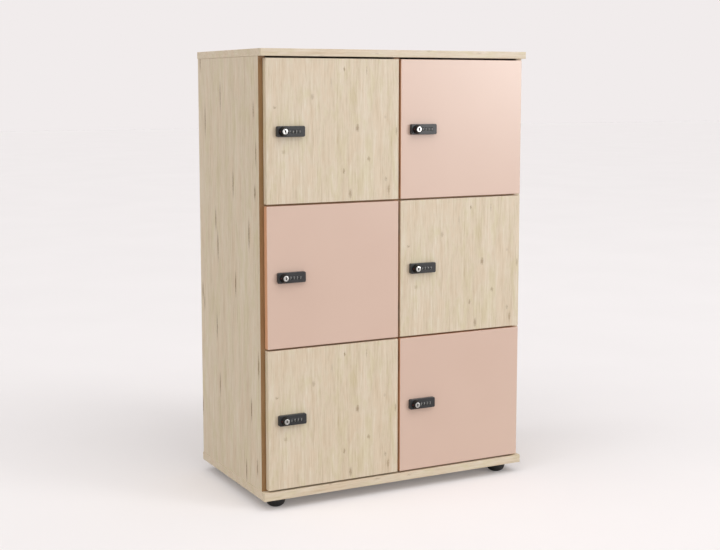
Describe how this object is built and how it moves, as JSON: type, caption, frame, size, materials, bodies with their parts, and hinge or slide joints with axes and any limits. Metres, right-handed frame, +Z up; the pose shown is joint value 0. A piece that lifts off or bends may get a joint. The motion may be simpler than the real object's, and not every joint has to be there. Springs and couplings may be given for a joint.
{
  "type": "compartment locker",
  "caption": "Free-standing wooden locker with stacked compartments, hinged doors, number-wheel combination locks with turning knobs and levelling feet.",
  "frame": {"origin": "on the floor under the middle of the whole object's box, lock knobs included", "axes": "+X to the right seen from the front, +Y to the back, +Z up; the doors face -Y"},
  "size_m": [0.8, 0.4714, 1.2],
  "materials": {
    "oak_board": "satin wood-effect melamine",
    "oak_door": "satin wood-effect melamine",
    "rose_door": "satin rose laminate",
    "black_rubbery_plastic": "matt moulded",
    "lock_black": "fine satin",
    "wheel_black": "satin, with white digits",
    "hinge_steel": "nickel plated",
    "insert_steel": "zinc plated"
  },
  "bodies": {
    "carcass": {"top_panel": "oak_board", "bottom_panel": "oak_board", "left_side_panel": "oak_board", "right_side_panel": "oak_board", "centre_divider": "oak_board", "back_panel": "oak_board", "shelves": "oak_board", "foot_sockets": "insert_steel", "hinge_arms": "hinge_steel", "hinge_pins": "hinge_steel", "strike_plates": "hinge_steel"},
    "door_left_top": {"door_left_top": "oak_door", "hinge_cups_left_top": "hinge_steel", "lock_housing_left_top": "lock_black"},
    "door_right_top": {"door_right_top": "rose_door", "hinge_cups_right_top": "hinge_steel", "lock_housing_right_top": "lock_black"},
    "door_left_middle": {"door_left_middle": "rose_door", "hinge_cups_left_middle": "hinge_steel", "lock_housing_left_middle": "lock_black"},
    "door_right_middle": {"door_right_middle": "oak_door", "hinge_cups_right_middle": "hinge_steel", "lock_housing_right_middle": "lock_black"},
    "door_left_bottom": {"door_left_bottom": "oak_door", "hinge_cups_left_bottom": "hinge_steel", "lock_housing_left_bottom": "lock_black"},
    "door_right_bottom": {"door_right_bottom": "rose_door", "hinge_cups_right_bottom": "hinge_steel", "lock_housing_right_bottom": "lock_black"},
    "knob_left_top": {"lock_knob_left_top": "lock_black"},
    "knob_right_top": {"lock_knob_right_top": "lock_black"},
    "knob_left_middle": {"lock_knob_left_middle": "lock_black"},
    "knob_right_middle": {"lock_knob_right_middle": "lock_black"},
    "knob_left_bottom": {"lock_knob_left_bottom": "lock_black"},
    "knob_right_bottom": {"lock_knob_right_bottom": "lock_black"},
    "feet": {"levelling_feet": "black_rubbery_plastic"},
    "wheel_left_top_1": {"number_wheel_left_top_1": "wheel_black"},
    "wheel_left_top_2": {"number_wheel_left_top_2": "wheel_black"},
    "wheel_left_top_3": {"number_wheel_left_top_3": "wheel_black"},
    "wheel_left_top_4": {"number_wheel_left_top_4": "wheel_black"},
    "wheel_right_top_1": {"number_wheel_right_top_1": "wheel_black"},
    "wheel_right_top_2": {"number_wheel_right_top_2": "wheel_black"},
    "wheel_right_top_3": {"number_wheel_right_top_3": "wheel_black"},
    "wheel_right_top_4": {"number_wheel_right_top_4": "wheel_black"},
    "wheel_left_middle_1": {"number_wheel_left_middle_1": "wheel_black"},
    "wheel_left_middle_2": {"number_wheel_left_middle_2": "wheel_black"},
    "wheel_left_middle_3": {"number_wheel_left_middle_3": "wheel_black"},
    "wheel_left_middle_4": {"number_wheel_left_middle_4": "wheel_black"},
    "wheel_right_middle_1": {"number_wheel_right_middle_1": "wheel_black"},
    "wheel_right_middle_2": {"number_wheel_right_middle_2": "wheel_black"},
    "wheel_right_middle_3": {"number_wheel_right_middle_3": "wheel_black"},
    "wheel_right_middle_4": {"number_wheel_right_middle_4": "wheel_black"},
    "wheel_left_bottom_1": {"number_wheel_left_bottom_1": "wheel_black"},
    "wheel_left_bottom_2": {"number_wheel_left_bottom_2": "wheel_black"},
    "wheel_left_bottom_3": {"number_wheel_left_bottom_3": "wheel_black"},
    "wheel_left_bottom_4": {"number_wheel_left_bottom_4": "wheel_black"},
    "wheel_right_bottom_1": {"number_wheel_right_bottom_1": "wheel_black"},
    "wheel_right_bottom_2": {"number_wheel_right_bottom_2": "wheel_black"},
    "wheel_right_bottom_3": {"number_wheel_right_bottom_3": "wheel_black"},
    "wheel_right_bottom_4": {"number_wheel_right_bottom_4": "wheel_black"}
  },
  "joints": [
    {"name": "door_swing_left_top", "type": "hinge", "parent": "carcass", "child": "door_left_top", "pos_m": [-0.0065, -0.2048, 0.991], "axis": [0, 0, 1], "range_deg": [0, 95]},
    {"name": "door_swing_right_top", "type": "hinge", "parent": "carcass", "child": "door_right_top", "pos_m": [0.384, -0.2048, 0.991], "axis": [0, 0, 1], "range_deg": [0, 95]},
    {"name": "door_swing_left_middle", "type": "hinge", "parent": "carcass", "child": "door_left_middle", "pos_m": [-0.0065, -0.2048, 0.616], "axis": [0, 0, 1], "range_deg": [0, 95]},
    {"name": "door_swing_right_middle", "type": "hinge", "parent": "carcass", "child": "door_right_middle", "pos_m": [0.384, -0.2048, 0.616], "axis": [0, 0, 1], "range_deg": [0, 95]},
    {"name": "door_swing_left_bottom", "type": "hinge", "parent": "carcass", "child": "door_left_bottom", "pos_m": [-0.0065, -0.2048, 0.241], "axis": [0, 0, 1], "range_deg": [0, 95]},
    {"name": "door_swing_right_bottom", "type": "hinge", "parent": "carcass", "child": "door_right_bottom", "pos_m": [0.384, -0.2048, 0.241], "axis": [0, 0, 1], "range_deg": [0, 95]},
    {"name": "knob_turn_left_top", "type": "hinge", "parent": "door_left_top", "child": "knob_left_top", "pos_m": [-0.3436, -0.2133, 0.991], "axis": [0, 1, 0], "range_deg": [0, 90]},
    {"name": "knob_turn_right_top", "type": "hinge", "parent": "door_right_top", "child": "knob_right_top", "pos_m": [0.0469, -0.2133, 0.991], "axis": [0, 1, 0], "range_deg": [0, 90]},
    {"name": "knob_turn_left_middle", "type": "hinge", "parent": "door_left_middle", "child": "knob_left_middle", "pos_m": [-0.3436, -0.2133, 0.616], "axis": [0, 1, 0], "range_deg": [0, 90]},
    {"name": "knob_turn_right_middle", "type": "hinge", "parent": "door_right_middle", "child": "knob_right_middle", "pos_m": [0.0469, -0.2133, 0.616], "axis": [0, 1, 0], "range_deg": [0, 90]},
    {"name": "knob_turn_left_bottom", "type": "hinge", "parent": "door_left_bottom", "child": "knob_left_bottom", "pos_m": [-0.3436, -0.2133, 0.241], "axis": [0, 1, 0], "range_deg": [0, 90]},
    {"name": "knob_turn_right_bottom", "type": "hinge", "parent": "door_right_bottom", "child": "knob_right_bottom", "pos_m": [0.0469, -0.2133, 0.241], "axis": [0, 1, 0], "range_deg": [0, 90]},
    {"name": "leveller_feet_slide", "type": "slide", "parent": "carcass", "child": "feet", "axis": [0, 0, -1], "range_m": [0, 0.01]},
    {"name": "number_wheel_turn_left_top_1", "type": "hinge", "parent": "door_left_top", "child": "wheel_left_top_1", "pos_m": [-0.3253, -0.2175, 0.991], "axis": [1, 0, 0], "continuous": true},
    {"name": "number_wheel_turn_left_top_2", "type": "hinge", "parent": "door_left_top", "child": "wheel_left_top_2", "pos_m": [-0.316, -0.2175, 0.991], "axis": [1, 0, 0], "continuous": true},
    {"name": "number_wheel_turn_left_top_3", "type": "hinge", "parent": "door_left_top", "child": "wheel_left_top_3", "pos_m": [-0.3067, -0.2175, 0.991], "axis": [1, 0, 0], "continuous": true},
    {"name": "number_wheel_turn_left_top_4", "type": "hinge", "parent": "door_left_top", "child": "wheel_left_top_4", "pos_m": [-0.2974, -0.2175, 0.991], "axis": [1, 0, 0], "continuous": true},
    {"name": "number_wheel_turn_right_top_1", "type": "hinge", "parent": "door_right_top", "child": "wheel_right_top_1", "pos_m": [0.0652, -0.2175, 0.991], "axis": [1, 0, 0], "continuous": true},
    {"name": "number_wheel_turn_right_top_2", "type": "hinge", "parent": "door_right_top", "child": "wheel_right_top_2", "pos_m": [0.0745, -0.2175, 0.991], "axis": [1, 0, 0], "continuous": true},
    {"name": "number_wheel_turn_right_top_3", "type": "hinge", "parent": "door_right_top", "child": "wheel_right_top_3", "pos_m": [0.0838, -0.2175, 0.991], "axis": [1, 0, 0], "continuous": true},
    {"name": "number_wheel_turn_right_top_4", "type": "hinge", "parent": "door_right_top", "child": "wheel_right_top_4", "pos_m": [0.0931, -0.2175, 0.991], "axis": [1, 0, 0], "continuous": true},
    {"name": "number_wheel_turn_left_middle_1", "type": "hinge", "parent": "door_left_middle", "child": "wheel_left_middle_1", "pos_m": [-0.3253, -0.2175, 0.616], "axis": [1, 0, 0], "continuous": true},
    {"name": "number_wheel_turn_left_middle_2", "type": "hinge", "parent": "door_left_middle", "child": "wheel_left_middle_2", "pos_m": [-0.316, -0.2175, 0.616], "axis": [1, 0, 0], "continuous": true},
    {"name": "number_wheel_turn_left_middle_3", "type": "hinge", "parent": "door_left_middle", "child": "wheel_left_middle_3", "pos_m": [-0.3067, -0.2175, 0.616], "axis": [1, 0, 0], "continuous": true},
    {"name": "number_wheel_turn_left_middle_4", "type": "hinge", "parent": "door_left_middle", "child": "wheel_left_middle_4", "pos_m": [-0.2974, -0.2175, 0.616], "axis": [1, 0, 0], "continuous": true},
    {"name": "number_wheel_turn_right_middle_1", "type": "hinge", "parent": "door_right_middle", "child": "wheel_right_middle_1", "pos_m": [0.0652, -0.2175, 0.616], "axis": [1, 0, 0], "continuous": true},
    {"name": "number_wheel_turn_right_middle_2", "type": "hinge", "parent": "door_right_middle", "child": "wheel_right_middle_2", "pos_m": [0.0745, -0.2175, 0.616], "axis": [1, 0, 0], "continuous": true},
    {"name": "number_wheel_turn_right_middle_3", "type": "hinge", "parent": "door_right_middle", "child": "wheel_right_middle_3", "pos_m": [0.0838, -0.2175, 0.616], "axis": [1, 0, 0], "continuous": true},
    {"name": "number_wheel_turn_right_middle_4", "type": "hinge", "parent": "door_right_middle", "child": "wheel_right_middle_4", "pos_m": [0.0931, -0.2175, 0.616], "axis": [1, 0, 0], "continuous": true},
    {"name": "number_wheel_turn_left_bottom_1", "type": "hinge", "parent": "door_left_bottom", "child": "wheel_left_bottom_1", "pos_m": [-0.3253, -0.2175, 0.241], "axis": [1, 0, 0], "continuous": true},
    {"name": "number_wheel_turn_left_bottom_2", "type": "hinge", "parent": "door_left_bottom", "child": "wheel_left_bottom_2", "pos_m": [-0.316, -0.2175, 0.241], "axis": [1, 0, 0], "continuous": true},
    {"name": "number_wheel_turn_left_bottom_3", "type": "hinge", "parent": "door_left_bottom", "child": "wheel_left_bottom_3", "pos_m": [-0.3067, -0.2175, 0.241], "axis": [1, 0, 0], "continuous": true},
    {"name": "number_wheel_turn_left_bottom_4", "type": "hinge", "parent": "door_left_bottom", "child": "wheel_left_bottom_4", "pos_m": [-0.2974, -0.2175, 0.241], "axis": [1, 0, 0], "continuous": true},
    {"name": "number_wheel_turn_right_bottom_1", "type": "hinge", "parent": "door_right_bottom", "child": "wheel_right_bottom_1", "pos_m": [0.0652, -0.2175, 0.241], "axis": [1, 0, 0], "continuous": true},
    {"name": "number_wheel_turn_right_bottom_2", "type": "hinge", "parent": "door_right_bottom", "child": "wheel_right_bottom_2", "pos_m": [0.0745, -0.2175, 0.241], "axis": [1, 0, 0], "continuous": true},
    {"name": "number_wheel_turn_right_bottom_3", "type": "hinge", "parent": "door_right_bottom", "child": "wheel_right_bottom_3", "pos_m": [0.0838, -0.2175, 0.241], "axis": [1, 0, 0], "continuous": true},
    {"name": "number_wheel_turn_right_bottom_4", "type": "hinge", "parent": "door_right_bottom", "child": "wheel_right_bottom_4", "pos_m": [0.0931, -0.2175, 0.241], "axis": [1, 0, 0], "continuous": true}
  ]
}
